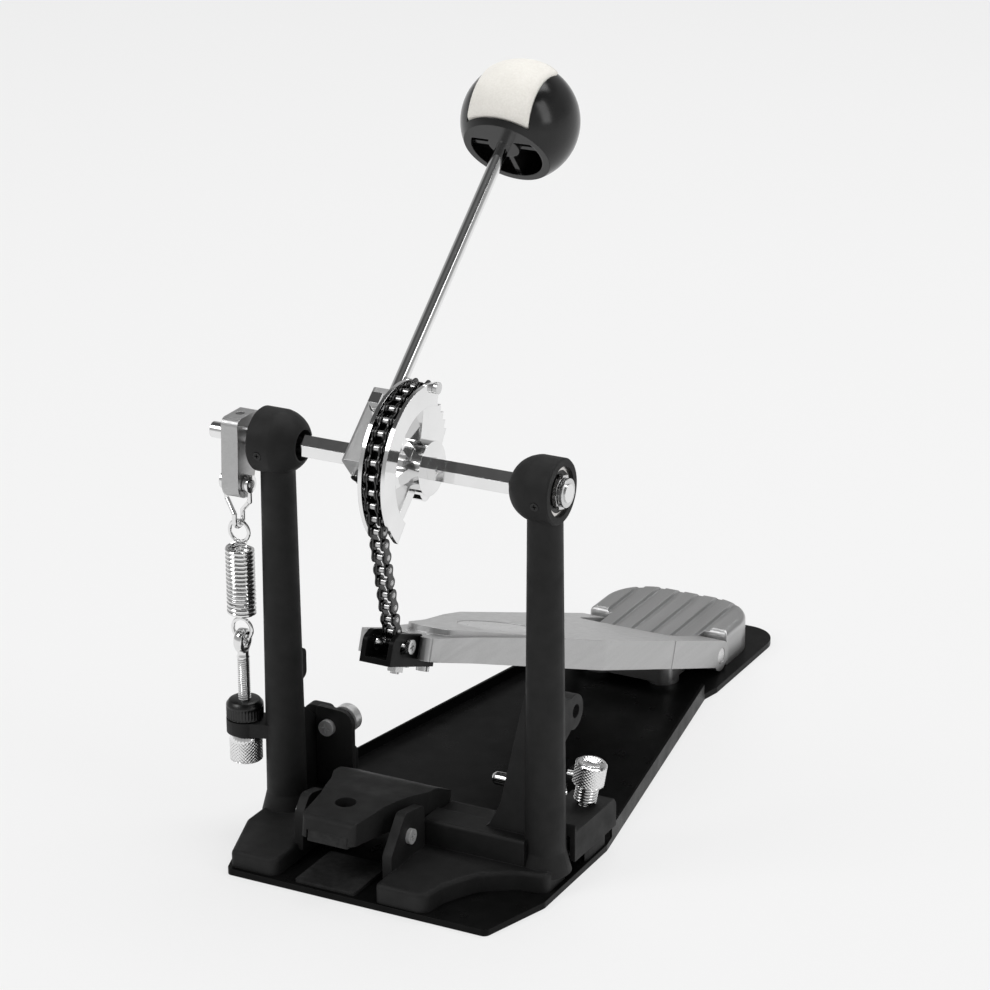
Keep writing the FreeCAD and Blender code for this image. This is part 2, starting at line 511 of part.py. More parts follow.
# two wire legs ending in a narrow bend that carries the upper spring ring
apex_z = AXLE_Z - 41.7
wire_r = 1.2
bend_r = 3.5
wire = []
for side in (-1, 1):
    eye_at = V(SPRING_X + side * 5.9, pivot[0], pivot[1])
    knee = eye_at - Z * 8.3
    low = V(SPRING_X, SPRING_Y + side * bend_r, apex_z + bend_r)
    high = low + Z * 3.0
    wire += [tube(eye_at - X * 1.3, eye_at + X * 1.3, 4.0, 2.04), rod(eye_at - Z * 3.1, knee, wire_r),
             Part.makeSphere(wire_r, knee), rod(knee, high, wire_r), Part.makeSphere(wire_r, high), rod(high, low, wire_r)]
bend = Part.makeTorus(bend_r, wire_r, V(SPRING_X, SPRING_Y, apex_z + bend_r), X)
bend = bend.common(box(SPRING_X - 5, SPRING_Y - 9, apex_z - 5, SPRING_X + 5, SPRING_Y + 9, apex_z + bend_r))
save("stirrup", [fuse(wire + [bend])])

WIRE = 0.9
loop_r = 4.9
loop_top = apex_z + wire_r + 0.3 + WIRE - loop_r
loop_low = 94.5
coil_r = 5.85
coil_top = loop_top - loop_r - 1.6
coil_low = loop_low + loop_r + 1.6


def hook(z_loop, up):
    """End ring of the spring in the XZ plane, with a short shank to the coil."""
    ring = Part.makeTorus(loop_r, WIRE, V(SPRING_X, SPRING_Y, z_loop), Y)
    s = -1 if up else 1
    shank = rod(V(SPRING_X, SPRING_Y, z_loop + s * loop_r), V(SPRING_X, SPRING_Y, z_loop + s * (loop_r + 1.5)), WIRE)
    return fuse([ring, shank])


def coil(z0, z1, turns):
    helix = Part.makeHelix((z1 - z0) / turns, z1 - z0, coil_r)
    start = helix.Edges[0].valueAt(helix.Edges[0].FirstParameter)
    tangent = helix.Edges[0].tangentAt(helix.Edges[0].FirstParameter)
    ring = Part.Wire(Part.makeCircle(WIRE, start, tangent))
    body = Part.Wire(helix.Edges).makePipeShell([ring], True, True)
    body.translate(V(SPRING_X, SPRING_Y, z0))
    return body


save("spring_hook_upper", [hook(loop_top, True)])
save("spring_hook_lower", [hook(loop_low, False)])
save("spring_coil", [coil(coil_low + 1.2, coil_top - 1.2, 15)])

# ---------------------------------------------------------------- spring tension adjuster
eye_z = 89.2
eye = profile_x([(-5.2, eye_z - 6.5, 1.5), (-5.2, eye_z + 5.5, 4.0), (5.2, eye_z + 5.5, 4.0), (5.2, eye_z - 6.5, 1.5)],
                SPRING_X - 2.1, SPRING_X + 2.1)
eye.translate(V(0, SPRING_Y, 0))
eye = eye.cut(rod_x(SPRING_X - 5, SPRING_X + 5, SPRING_Y, eye_z, 2.35))
eye_bolt = fuse([eye, rod_z(SPRING_X, SPRING_Y, 31.4, eye_z - 5.5, 2.95)])
save("eye_bolt", [eye_bolt])
lock_nut = fuse([rod_z(SPRING_X, SPRING_Y, 51.8, 58.6, 8.5), cone_z(SPRING_X, SPRING_Y, 58.6, 8.5, 60.6, 6.6)])
lock_nut = lock_nut.cut(rod_z(SPRING_X, SPRING_Y, 50, 62, 3.02))
save("spring_lock_nut", [lock_nut])
thumb_nut = fuse([rod_z(SPRING_X, SPRING_Y, 31.6, 41.6, 7.5), cone_z(SPRING_X, SPRING_Y, 41.6, 7.5, 44.6, 5.2),
                  cone_z(SPRING_X, SPRING_Y, 30.6, 6.5, 31.6, 7.5)])
thumb_nut = thumb_nut.cut(rod_z(SPRING_X, SPRING_Y, 30, 46, 3.02))
save("spring_tension_nut", [thumb_nut])


# ---------------------------------------------------------------- footboard, drawn flat about its hinge then raised
def to_board(shape):
    out = shape.copy()
    out.rotate(V(0, 0, 0), X, -BOARD_TILT)
    out.translate(V(LINE_X, HINGE_Y, HINGE_Z))
    return out


reach = math.hypot(toe[0] - HINGE_Y, toe[1] - HINGE_Z)
TOP = 7.7
board_plan = [(-13.8, -264, 3), (13.8, -264, 3), (17, -232, 30), (38.5, -140, 12), (39, 0, 0), (-39, 0, 0),
              (-38.5, -140, 12), (-17, -232, 30)]
inner_plan = [(-10.6, -270, 0), (10.6, -270, 0), (13.6, -231, 30), (35.2, -139, 10), (35.2, -60, 0), (-35.2, -60, 0),
              (-35.2, -139, 10), (-13.6, -231, 30)]
board = slab(board_plan, -6.0, TOP)
# the margin round the raised oval platform falls away toward the toe
platform = slab([(-10.5, -250, 10), (10.5, -250, 10), (15, -226, 20), (34.5, -140, 10), (34.5, -100, 0), (-34.5, -100, 0),
                 (-34.5, -140, 10), (-15, -226, 20)], 0, 20)
margin = profile_x([(-170, TOP, 0), (-170, 20, 0), (-291, 20, 0), (-291, TOP - 4.0, 0)], -60, 60).cut(platform)
board = board.cut(margin)
board = board.cut(slab(inner_plan, -20, TOP - 4.2))
notch = slab([(-26, -37, 8), (-26, 20, 0), (26, 20, 0), (26, -37, 8)], -20, 20)
tunnel = slab([(-26, -60, 0), (-26, 20, 0), (26, 20, 0), (26, -60, 0)], -20, TOP - 4.2)
board = board.cut(fuse([notch, tunnel]))
arm_ends = fuse([rod_x(-39, 39, 0, 0, TOP), box(-39, -60, -6.0, 39, 0, TOP)]).cut(box(-26, -90, -30, 26, 30, 30))
board = fuse([board.common(box(-60, -400, -30, 60, -12, 30)), arm_ends])
board = board.cut(rod_x(-60, 60, 0, 0, 4.08))
# shallow oval recess for the badge
oval = Part.Face(Part.Wire(Part.Ellipse(V(0, 0, 0), 31, 15).toShape()))
oval.rotate(V(0, 0, 0), Z, 90)
oval.translate(V(0, -176, TOP - 1.0))
board = board.cut(oval.extrude(V(0, 0, 5)))
# stiffening ribs underneath
under = [box(-33, y - 1.25, -3.5, 33, y + 1.25, TOP - 4) for y in (-150, -110, -75)]
spine = box(-1.5, -248, -3.5, 1.5, -66, TOP - 4)
prongs = [slab([(-14.2, -283, 2), (-9.4, -283, 2), (-9.4, -250, 0), (-14.2, -250, 0)], -5.6, 4.6),
          slab([(7.6, -270, 2.5), (14.2, -270, 2.5), (14.2, -250, 0), (7.6, -250, 0)], -5.6, 4.6)]
board = fuse([board] + [u.common(slab(board_plan, -20, 20)) for u in under] + [spine] + prongs)
for x in (-5, 5):
    board = board.cut(rod_z(x, -256, -10, TOP - 2.0, 1.6))
save("footboard", [to_board(board)])
badge = Part.Face(Part.Wire(Part.Ellipse(V(0, 0, 0), 30.7, 14.7).toShape()))
badge.rotate(V(0, 0, 0), Z, 90)
badge.translate(V(0, -176, TOP - 1.0))
save("badge_plate", [to_board(badge.extrude(V(0, 0, 0.8)))])

wall = [(-264.6, -9, 0), (-291, -9, 0), (-291, 2, 4), (-286, 5.4, 4), (-264.6, 5.4, 2)]
bracket = fuse([slab([(-8, -291, 2), (7, -291, 2), (7, -248, 3), (-8, -248, 3)], -9.0, -6.4),
                profile_x(wall, -8, -5.8), profile_x(wall, 4.9, 7), box(-7.8, -264, -6.5, 6.8, -250, TOP - 4.3)])
pin_y = -reach
slot_tilt = math.radians(BOARD_TILT - 3.4)
slot_end = (pin_y - 4.2 * math.cos(slot_tilt), -4.2 * math.sin(slot_tilt))
bracket = bracket.cut(strap(slot_end, (pin_y, 0.2), 2.601, 2.6, -20, 20))
for x in (-5, 5):
    bracket = bracket.cut(rod_z(x, -256, -10, 10, 1.6))
bracket = bracket.cut(rod_z(0, -272, -12, -2, 2.0))
save("toe_bracket", [to_board(bracket)])
toe_screws = []
for x in (-5, 5):
    body = fuse([rod_z(x, -256, -9.1, TOP - 2.8, 1.55), rod_z(x, -256, -11.2, -9.0, 2.9)])
    toe_screws.append(to_board(body.cut(cross_recess(V(x, -256, -11.2), V(0, 0, -1), 1.7, 1.1))))
toe_screws.append(to_board(fuse([rod_z(0, -272, -13.2, -5.4, 1.95), hexagon(V(0, -272, -12.2), V(0, -272, -9.0), 6.6)])))
save("toe_bracket_screws", toe_screws)

# ---------------------------------------------------------------- heel plate
CX = LINE_X
heel = slab([(CX - 38, 249, 1), (CX + 38, 249, 1), (CX + 38, 290, 24), (CX - 38, 290, 24)], PLATE_T, 20.5)
heel = round_top(heel, 20.5, 3.0)
tongue = slab([(CX - 25.4, 207, 6), (CX + 25.4, 207, 6), (CX + 25.4, 260, 0), (CX - 25.4, 260, 0)], 3.4, 20.5)
heel = fuse([heel, tongue])
heel = heel.cut(slab([(CX - 33, 254, 2), (CX + 33, 254, 2), (CX + 33, 285, 20), (CX - 33, 285, 20)], 0, 15.5))
heel = heel.cut(slab([(CX - 22, 210, 4), (CX + 22, 210, 4), (CX + 22, 256, 2), (CX - 22, 256, 2)], 0, 6.4))
heel = heel.cut(box(CX - 60, 200, 0, CX + 60, 248, 6.4))
for x, y in heel_screws:
    heel = fuse([heel, rod_z(x, y, PLATE_T, 16.5, 8.0 if y < 240 else 6.0)])
for k in range(6):
    x = CX + (k - 2.5) * 10.6
    heel = heel.cut(profile_y([(x - 1.5, 19.0, 0.6), (x + 1.5, 19.0, 0.6), (x + 2.4, 21, 0), (x - 2.4, 21, 0)], 200, 300))
heel = heel.cut(rod_x(CX - 60, CX + 60, HINGE_Y, HINGE_Z, 4.02))
for x, y in heel_screws:
    heel = heel.cut(rod_z(x, y, 2, 10, 2.5))
save("heel_plate", [heel])
save("hinge_pin", [rod_x(CX - 38.8, CX + 38.8, HINGE_Y, HINGE_Z, 4.0)])

# ---------------------------------------------------------------- hoop clamp
J = CLAMP_X
JAW_OPEN = 8.5
jaw = slab([(J - 13.2, -51, 3), (J + 13.2, -51, 3), (J + 16, -30, 10), (J + 20.5, -13, 8), (J + 24.5, -4, 6),
            (J + 24.5, 19, 5), (J + 14, 22, 6), (J - 14, 22, 6), (J - 24.5, 19, 5), (J - 24.5, -4, 6),
            (J - 20.5, -13, 8), (J - 16, -30, 10)], 5, 34)
jaw_side = profile_x([(-51, 15.5, 0), (-51, 25.5, 3), (-22, 30.4, 30), (2, 31.5, 14), (22, 25, 9), (22, 10, 3), (4, 10, 3),
                      (-6, 17, 3), (-20, 17, 3)], J - 40, J + 40)
jaw = jaw.common(jaw_side)
jaw = jaw.cut(rod_z(J - 1.5, -33, 21, 40, 4.7))
jaw = jaw.cut(slab([(J - 10.4, -60, 0), (J + 10.4, -60, 0), (J + 10.4, -24, 1), (J - 10.4, -24, 1)], 10, 19.2))
jaw = turned(jaw, -JAW_OPEN, SHAFT_Y, SHAFT_Z).cut(rod_x(J - 40, J + 40, SHAFT_Y, SHAFT_Z, 4.01))
save("clamp_jaw", [jaw])
jaw_pad = slab([(J - 10.2, -50.6, 1), (J + 10.2, -50.6, 1), (J + 10.2, -24.2, 1), (J - 10.2, -24.2, 1)], 14.0, 19.2)
save("clamp_jaw_pad", [turned(jaw_pad, -JAW_OPEN, SHAFT_Y, SHAFT_Z)])
shaft = fuse([rod_x(-46.6, 58, SHAFT_Y, SHAFT_Z, 4.0), rod_x(57.5, 66, SHAFT_Y, SHAFT_Z, 3.0)])
shaft = shaft.cut(cross_recess(V(-46.6, SHAFT_Y, SHAFT_Z), V(-1, 0, 0), 2.0, 1.2))
save("clamp_shaft", [shaft])
crank = strap((SHAFT_Y, SHAFT_Z), (40, 12.4), 5.2, 2.6, 60.2, 71.8)
crank = crank.cut(rod_x(50, 80, SHAFT_Y, SHAFT_Z, 3.02))
crank = crank.cut(slab([(60.9, 28.6, 3.6), (69.4, 28.6, 3.6), (69.4, 60, 0), (60.9, 60, 0)], 0, 30))
save("clamp_crank", [crank])

screw_top = KNOB_AT + knob_axis * 10.8
knob = fuse([rod(screw_top, screw_top + knob_axis * 10.5, 7.2), rod(KNOB_AT - knob_axis * 20.4, screw_top, 2.6)])
knob = knob.cut(rod(screw_top + knob_axis * 9.6, screw_top + knob_axis * 11, 4.6))
save("clamp_screw", [knob])
save("clamp_nut", [tube(KNOB_AT - knob_axis * 18.6, KNOB_AT - knob_axis * 15.8, 4.6, 2.66)])


def clamp_coil():
    turns = 5
    height = 9.0
    radius = 4.6
    helix = Part.makeHelix((height - 1.6) / turns, height - 1.6, radius)
    edge = helix.Edges[0]
    ring = Part.Wire(Part.makeCircle(0.65, edge.valueAt(edge.FirstParameter), edge.tangentAt(edge.FirstParameter)))
    body = Part.Wire(helix.Edges).makePipeShell([ring], True, True)
    body.Placement = FreeCAD.Placement(KNOB_AT + knob_axis * 2.1, FreeCAD.Rotation(Z, knob_axis))
    return body


save("clamp_spring", [clamp_coil()])

# ---------------------------------------------------------------- stored drum key behind the right post
shank = fuse([rod_x(14.0, 46, KEY_Y, KEY_Z, 3.1), Part.makeSphere(3.1, V(14.0, KEY_Y, KEY_Z)),
              rod_x(46, 54, KEY_Y, KEY_Z, 4.2)])
shank = shank.cut(box(0, KEY_Y - 1.6, KEY_Z - 1.6, 19, KEY_Y + 1.6, KEY_Z + 1.6))
grip = profile_x([(KEY_Y - 3.6, KEY_Z - 9.0, 2), (KEY_Y + 3.6, KEY_Z - 9.0, 2), (KEY_Y + 4.6, KEY_Z + 13.6, 2),
                  (KEY_Y - 4.6, KEY_Z + 13.6, 2)], 51, 55.5)
save("drum_key", [fuse([shank, grip])])
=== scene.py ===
import json
import math

import bpy
import bmesh
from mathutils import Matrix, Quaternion, Vector, noise


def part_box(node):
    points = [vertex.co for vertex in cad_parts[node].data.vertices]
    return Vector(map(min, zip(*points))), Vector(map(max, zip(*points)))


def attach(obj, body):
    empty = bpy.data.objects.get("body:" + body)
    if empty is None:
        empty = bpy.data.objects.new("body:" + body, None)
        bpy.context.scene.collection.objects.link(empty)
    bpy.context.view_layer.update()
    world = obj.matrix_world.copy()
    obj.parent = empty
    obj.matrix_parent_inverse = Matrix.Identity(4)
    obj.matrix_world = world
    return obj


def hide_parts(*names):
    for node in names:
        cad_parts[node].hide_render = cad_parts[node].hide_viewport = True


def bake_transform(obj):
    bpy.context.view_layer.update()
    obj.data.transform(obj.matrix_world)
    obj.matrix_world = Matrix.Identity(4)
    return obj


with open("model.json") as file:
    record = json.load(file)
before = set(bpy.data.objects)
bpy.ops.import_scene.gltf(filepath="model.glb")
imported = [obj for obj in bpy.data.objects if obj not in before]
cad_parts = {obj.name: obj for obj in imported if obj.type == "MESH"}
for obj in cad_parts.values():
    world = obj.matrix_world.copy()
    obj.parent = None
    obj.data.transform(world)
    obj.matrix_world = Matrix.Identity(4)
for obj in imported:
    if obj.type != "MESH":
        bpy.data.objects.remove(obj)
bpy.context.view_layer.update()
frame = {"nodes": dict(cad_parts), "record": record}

nodes = frame["nodes"]

# the part's own dimensions in millimetres and degrees
MM = 0.001
AXLE_Z = 185.5
LINE_X = 2.0            # middle of the chain
BEATER_X = -15.0
REST = 50.0             # lean of the beater at rest
CHAIN_R = 34.5
PITCH = 6.35
CHAIN_TILT = 12.0       # lean of the hanging chain
WRAPPED = 11            # links round the cam
FIXED = 5               # of these, links that never leave it
HANGING = 11
SPRING = Vector((-84.0, -4.0, 0.0))
KNOB_AT = Vector((66.5, 36.0, 24.0))
KNOB_LEAN = 10.0


# ---------------------------------------------------------------- camera, floor and light
def make_camera():
    """Camera over the drum side, looking down at the right-hand front corner."""
    data = bpy.data.cameras.new("camera")
    data.lens = 131.3
    data.sensor_width = 36.0
    data.clip_start = 0.05
    data.clip_end = 50.0
    cam = bpy.data.objects.new("camera", data)
    bpy.context.scene.collection.objects.link(cam)
    at = Vector((0.7087, -1.2623, 0.7245))
    aim = Vector((0.041634, 0.0, 0.178694))
    cam.location = at
    cam.rotation_mode = "QUATERNION"
    look = (aim - at).to_track_quat("-Z", "Y")
    cam.rotation_quaternion = look @ Quaternion((0, 0, 1), math.radians(-0.32))
    bpy.context.scene.camera = cam


def area_light(name, at, aim, size, size_y, power):
    """Soft white panel at one point, facing another."""
    data = bpy.data.lights.new(name, "AREA")
    data.shape = "RECTANGLE"
    data.size = size
    data.size_y = size_y
    data.energy = power
    light = bpy.data.objects.new(name, data)
    bpy.context.scene.collection.objects.link(light)
    light.location = at
    light.rotation_mode = "QUATERNION"
    light.rotation_quaternion = (Vector(aim) - Vector(at)).to_track_quat("-Z", "Y")


def make_world():
    """Pale round the horizon and dim overhead, so bright metal shows light and dark bands."""
    world = bpy.data.worlds.new("studio")
    bpy.context.scene.world = world
    world.use_nodes = True
    tree = world.node_tree
    back = tree.nodes["Background"]
    coord = tree.nodes.new("ShaderNodeTexCoord")
    split = tree.nodes.new("ShaderNodeSeparateXYZ")
    ramp = tree.nodes.new("ShaderNodeValToRGB")
    tree.links.new(coord.outputs["Generated"], split.inputs[0])
    tree.links.new(split.outputs["Z"], ramp.inputs[0])
    stops = ramp.color_ramp.elements
    stops[0].position = 0.0
    stops[0].color = (0.74, 0.74, 0.74, 1)
    stops[1].position = 1.0
    stops[1].color = (0.16, 0.16, 0.16, 1)
    for place, value in ((0.08, 0.52), (0.20, 0.40), (0.50, 0.36), (0.70, 0.10), (0.90, 0.08)):
        stop = stops.new(place)
        stop.color = (value, value, value, 1)
    tree.links.new(ramp.outputs[0], back.inputs["Color"])
    back.inputs["Strength"].default_value = 1.0


def make_floor():
    """Plain pale floor that glows a little, for an even tone."""
    bm = bmesh.new()
    bmesh.ops.create_grid(bm, x_segments=2, y_segments=2, size=12.0)
    mesh = bpy.data.meshes.new("floor")
    bm.to_mesh(mesh)
    bm.free()
    floor = bpy.data.objects.new("floor", mesh)
    bpy.context.scene.collection.objects.link(floor)
    floor.location = (0, 0, -0.0002)
    material = bpy.data.materials.new("floor")
    material.use_nodes = True
    tree = material.node_tree
    shader = tree.nodes["Principled BSDF"]
    grain = tree.nodes.new("ShaderNodeTexNoise")
    grain.inputs["Scale"].default_value = 3.0
    ramp = tree.nodes.new("ShaderNodeValToRGB")
    ramp.color_ramp.elements[0].color = (0.195, 0.195, 0.195, 1)
    ramp.color_ramp.elements[1].color = (0.205, 0.205, 0.205, 1)
    coord = tree.nodes.new("ShaderNodeTexCoord")
    tree.links.new(coord.outputs["Object"], grain.inputs["Vector"])
    tree.links.new(grain.outputs[0], ramp.inputs[0])
    tree.links.new(ramp.outputs[0], shader.inputs["Base Color"])
    shader.inputs["Roughness"].default_value = 0.9
    shader.inputs["Specular IOR Level"].default_value = 0.1
    shader.inputs["Emission Color"].default_value = (1, 1, 1, 1)
    shader.inputs["Emission Strength"].default_value = 0.705
    mesh.materials.append(material)


make_camera()
make_world()
make_floor()
area_light("key", (-1.4, -1.6, 2.2), (0, 0.05, 0.1), 1.2, 1.2, 27)
area_light("fill", (1.9, -0.2, 1.2), (0, 0.1, 0.1), 0.7, 1.5, 9)
area_light("top", (0.2, 0.9, 2.5), (0, 0.1, 0.0), 2.2, 1.5, 44)
bpy.context.scene.view_settings.view_transform = "Standard"


# ---------------------------------------------------------------- materials
class Paint:
    """One procedural material; coordinates are the object's own, in metres."""

    def __init__(self, name, metallic=0.0, roughness=0.5, specular=0.5):
        self.material = bpy.data.materials.new(name)
        self.material.use_nodes = True
        self.tree = self.material.node_tree
        self.shader = self.tree.nodes["Principled BSDF"]
        self.shader.inputs["Metallic"].default_value = metallic
        self.shader.inputs["Roughness"].default_value = roughness
        self.shader.inputs["Specular IOR Level"].default_value = specular
        self.coord = self.tree.nodes.new("ShaderNodeTexCoord").outputs["Object"]
        self.normal = None

    def node(self, kind, **values):
        """New shader node with its settings."""
        made = self.tree.nodes.new(kind)
        for key, value in values.items():
            setattr(made, key, value)
        return made

    def link(self, a, b):
        self.tree.links.new(a, b)

    def scaled(self, factors):
        """Object coordinates stretched by three factors."""
        mapping = self.node("ShaderNodeMapping")
        mapping.inputs["Scale"].default_value = factors
        self.link(self.coord, mapping.inputs["Vector"])
        return mapping.outputs[0]

    def noise(self, scale, detail=2.0, rough=0.5, vector=None):
        made = self.node("ShaderNodeTexNoise")
        made.inputs["Scale"].default_value = scale
        made.inputs["Detail"].default_value = detail
        made.inputs["Roughness"].default_value = rough
        self.link(vector or self.coord, made.inputs["Vector"])
        return made.outputs[0]

    def ramp(self, factor, low, high, a=0.3, b=0.7):
        made = self.node("ShaderNodeValToRGB")
        for stop, place, value in zip(made.color_ramp.elements, (a, b), (low, high)):
            stop.position = place
            stop.color = tuple(value) + (1,) if hasattr(value, "__len__") else (value, value, value, 1)
        self.link(factor, made.inputs[0])
        return made.outputs[0]

    def mix(self, factor, one, two):
        made = self.node("ShaderNodeMix", data_type="RGBA")
        self.link(factor, made.inputs[0])
        for socket, value in ((made.inputs[6], one), (made.inputs[7], two)):
            if hasattr(value, "node"):
                self.link(value, socket)
            else:
                socket.default_value = tuple(value) + (1,)
        return made.outputs[2]

    def edges(self, radius_mm):
        """Mask that is white along sharp edges, where the colour gets a painted highlight."""
        bevel = self.node("ShaderNodeBevel", samples=4)
        bevel.inputs["Radius"].default_value = radius_mm * MM
        geometry = self.node("ShaderNodeNewGeometry")
        dot = self.node("ShaderNodeVectorMath", operation="DOT_PRODUCT")
        self.link(bevel.outputs[0], dot.inputs[0])
        self.link(geometry.outputs["Normal"], dot.inputs[1])
        return self.ramp(dot.outputs["Value"], 1.0, 0.0, 0.86, 0.985)

    def soft(self, radius_mm):
        """Round the shading of edges."""
        bevel = self.node("ShaderNodeBevel", samples=4)
        bevel.inputs["Radius"].default_value = radius_mm * MM
        self.normal = bevel.outputs[0]
        self.link(self.normal, self.shader.inputs["Normal"])

    def bump(self, height, strength, distance_mm):
        made = self.node("ShaderNodeBump")
        made.inputs["Strength"].default_value = strength
        made.inputs["Distance"].default_value = distance_mm * MM
        self.link(height, made.inputs["Height"])
        if self.normal is not None:
            self.link(self.normal, made.inputs["Normal"])
        self.normal = made.outputs[0]
        self.link(self.normal, self.shader.inputs["Normal"])

    def colour(self, socket):
        self.link(socket, self.shader.inputs["Base Color"])

    def rough(self, socket):
        self.link(socket, self.shader.inputs["Roughness"])


def powder_coat(name, dark, light, rough_low, rough_high, grain_mm, strength, specular=0.28):
    """Black paint with a fine grain, lighter along the edges as a painted highlight."""
    p = Paint(name, roughness=0.6, specular=specular)
    p.soft(0.35)
    # colour is lighter along the edges: a painted edge highlight
    p.colour(p.mix(p.edges(0.5), p.ramp(p.noise(160, 3), dark, light), [c * 1.9 for c in light]))
    p.rough(p.ramp(p.noise(90, 3), rough_low, rough_high))
    p.bump(p.noise(1000.0 / grain_mm, 2.5, 0.55), strength, 0.12)
    p.bump(p.noise(140, 2), 0.10, 0.4)
    return p.material


def polished(name, low, high, rough_low, rough_high, edge=0.18):
    """Plated or ground metal; edge is the radius its edges are shaded with."""
    p = Paint(name, metallic=1.0)
    p.soft(edge)
    p.colour(p.ramp(p.noise(60, 3), low, high))
    p.rough(p.ramp(p.noise(240, 4, 0.6), rough_low, rough_high))
    p.bump(p.noise(220, 2), 0.05, 0.05)
    return p.material


def plated(name, low, high):
    """Dull zinc plate, bright from every side."""
    p = Paint(name, metallic=0.55, roughness=0.35)
    p.soft(0.2)
    p.colour(p.ramp(p.noise(300, 3), low, high))
    p.rough(p.ramp(p.noise(500, 3), 0.28, 0.42))
    p.bump(p.noise(900, 2), 0.06, 0.05)
    return p.material


def brushed(name, low, high, rough_low, rough_high):
    """Satin metal with fine lines along Y and a painted highlight along its edges."""
    p = Paint(name, metallic=1.0)
    p.soft(0.3)
    drawn_out = p.scaled((1.0, 0.035, 1.0))
    lines = p.noise(2600, 3, 0.6, drawn_out)
    broad = p.noise(420, 3, 0.6, drawn_out)
    grit = p.noise(1500, 3, 0.6)
    # colour is lighter along the edges: a painted edge highlight
    p.colour(p.mix(p.edges(0.4), p.mix(grit, low, high), [min(1.0, c * 1.12) for c in high]))
    p.rough(p.ramp(broad, rough_low, rough_high))
    p.bump(lines, 0.16, 0.05)
    p.bump(grit, 0.10, 0.04)
    return p.material


def grey(value, warm=0.0):
    return (value * (1 + warm), value, value * (1 - warm))


def make_felt():
    """Off-white pressed wool with a short nap."""
    p = Paint("pressed_felt", roughness=0.95, specular=0.1)
    fibre = p.noise(900, 6, 0.75)
    cloud = p.noise(120, 3)
    p.colour(p.mix(cloud, p.ramp(fibre, (0.76, 0.735, 0.68), (0.88, 0.855, 0.80)),
                   p.ramp(fibre, (0.83, 0.805, 0.75), (0.93, 0.91, 0.86))))
    p.rough(p.ramp(fibre, 0.85, 1.0))
    p.shader.inputs["Sheen Weight"].default_value = 0.25
    p.shader.inputs["Sheen Roughness"].default_value = 0.6
    p.bump(fibre, 0.35, 0.25)
    p.bump(p.noise(2600, 4, 0.7), 0.25, 0.1)
    return p.material


def make_gloss():
    p = Paint("gloss_black", roughness=0.16, specular=0.35)
    p.soft(0.5)
    p.colour(p.ramp(p.noise(70, 3), grey(0.008), grey(0.014)))
    p.rough(p.ramp(p.noise(180, 5, 0.65), 0.13, 0.24))
    p.bump(p.noise(120, 2), 0.05, 0.2)
    return p.material


def make_rubber():
    p = Paint("black_rubber", roughness=0.8, specular=0.3)
    p.soft(0.3)
    p.colour(p.ramp(p.noise(300, 4), grey(0.012), grey(0.024)))
    p.rough(p.ramp(p.noise(500, 3), 0.65, 0.9))
    p.bump(p.noise(1800, 3), 0.3, 0.08)
    return p.material


PAINTS = {
    "black_casting": powder_coat("powder_coat_casting", grey(0.0070), grey(0.0105), 0.54, 0.70, 0.45, 0.55),
    "black_steel": powder_coat("powder_coat_sheet", grey(0.0040), grey(0.0065), 0.26, 0.38, 0.35, 0.25, 0.06),
    # same black sheet as the base plate, painted lighter: painted light on the side plate's upright face
    "side_sheet_painted_light": powder_coat("powder_coat_side_sheet", grey(0.012), grey(0.018), 0.48, 0.62, 0.40, 0.40),
    "bright_screw": plated("plated_screw", grey(0.66), grey(0.78)),
    "cast_aluminium": brushed("brushed_aluminium", grey(0.41), grey(0.51), 0.32, 0.46),
    "chrome": polished("chrome", grey(0.80), grey(0.86), 0.04, 0.11),
    "zinc_steel": polished("zinc_steel", grey(0.62), grey(0.72), 0.18, 0.32),
    "bearing_steel": polished("bearing_steel", grey(0.60, 0.03), grey(0.68, 0.03), 0.14, 0.26),
    "chain_steel": polished("chain_black", grey(0.045), grey(0.075), 0.20, 0.34, 0.12),
    "chain_bright": polished("chain_bright", grey(0.42), grey(0.56), 0.20, 0.34, 0.12),
    "black_oxide": polished("black_oxide", grey(0.030), grey(0.050), 0.30, 0.44, 0.15),
    "gloss_black": make_gloss(),
    "felt": make_felt(),
    "rubber": make_rubber(),
    "badge": brushed("badge_satin", grey(0.40), grey(0.47), 0.26, 0.36),
}

slot_of = {row["node"]: row["material_slot"] for row in frame["record"]["subparts"]}
own_paint = {
    # the side plate takes the lighter copy of the black sheet, painted light on its upright face
    "side_plate": "side_sheet_painted_light",
    "side_plate_screw": "bright_screw",
    "clamp_side_screws": "bright_screw",
}
for node, obj in nodes.items():
    obj.data.materials.clear()
    obj.data.materials.append(PAINTS[own_paint.get(node, slot_of[node])])


